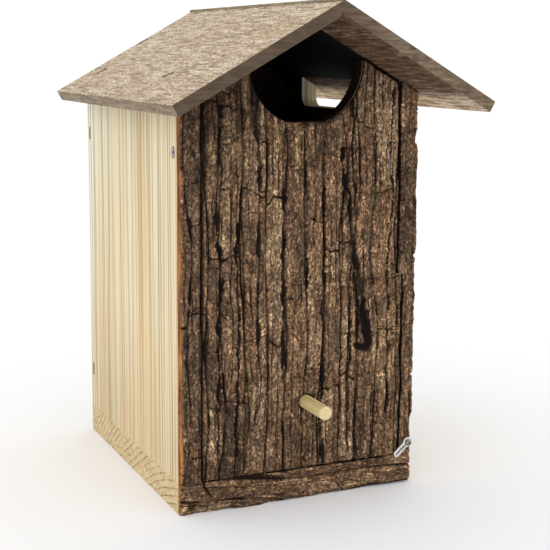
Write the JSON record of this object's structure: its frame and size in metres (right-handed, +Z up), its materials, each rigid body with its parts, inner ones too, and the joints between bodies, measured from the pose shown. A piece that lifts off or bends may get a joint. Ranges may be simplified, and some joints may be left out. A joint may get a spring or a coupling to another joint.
{
  "type": "nest box",
  "caption": "Gable-roofed wooden nest box with a bark-covered front that swings out on two screws, a round perch peg and a turning wire latch.",
  "frame": {"origin": "middle of the floor board's underside, halfway between the side boards' outer faces and halfway between their front and back edges", "axes": "+X to the right seen from the front, +Y towards the back, +Z up"},
  "size_m": [0.237, 0.283, 0.3583],
  "materials": {
    "pine_side": "natural, unvarnished",
    "pine_floor": "natural, unvarnished",
    "pine_back": "natural, unvarnished",
    "pine_door": "natural, unvarnished",
    "roof_wood": "natural, unvarnished",
    "bark": "natural, unvarnished",
    "peg_wood": "natural, unvarnished",
    "zinc": "zinc plated",
    "dark_wire": "weathered steel wire"
  },
  "bodies": {
    "box": {"floor_board": "pine_floor", "left_side_board": "pine_side", "right_side_board": "pine_side", "back_board": "pine_back", "roof_panel_left": "roof_wood", "roof_panel_right": "roof_wood", "left_edge_bark": "bark", "right_edge_bark": "bark", "base_bark": "bark", "latch_screw": "zinc", "roof_staples_left": "dark_wire", "roof_staples_right": "dark_wire", "side_staples_left": "dark_wire", "side_staples_right": "dark_wire", "floor_nails": "dark_wire", "left_edge_pins": "dark_wire", "right_edge_pins": "dark_wire", "base_bark_pins": "dark_wire"},
    "door": {"door_board": "pine_door", "door_bark": "bark", "peg": "peg_wood", "pivot_screw_left": "zinc", "pivot_screw_right": "zinc", "door_bark_pins": "dark_wire"},
    "latch": {"latch_hook": "zinc"}
  },
  "joints": [
    {"name": "door_swing", "type": "hinge", "parent": "box", "child": "door", "pos_m": [0, -0.1025, 0.2555], "axis": [-1, 0, 0], "range_deg": [0, 90]},
    {"name": "latch_turn", "type": "hinge", "parent": "box", "child": "latch", "pos_m": [0.087, -0.1187, 0.033], "axis": [0, 1, 0], "continuous": true}
  ]
}
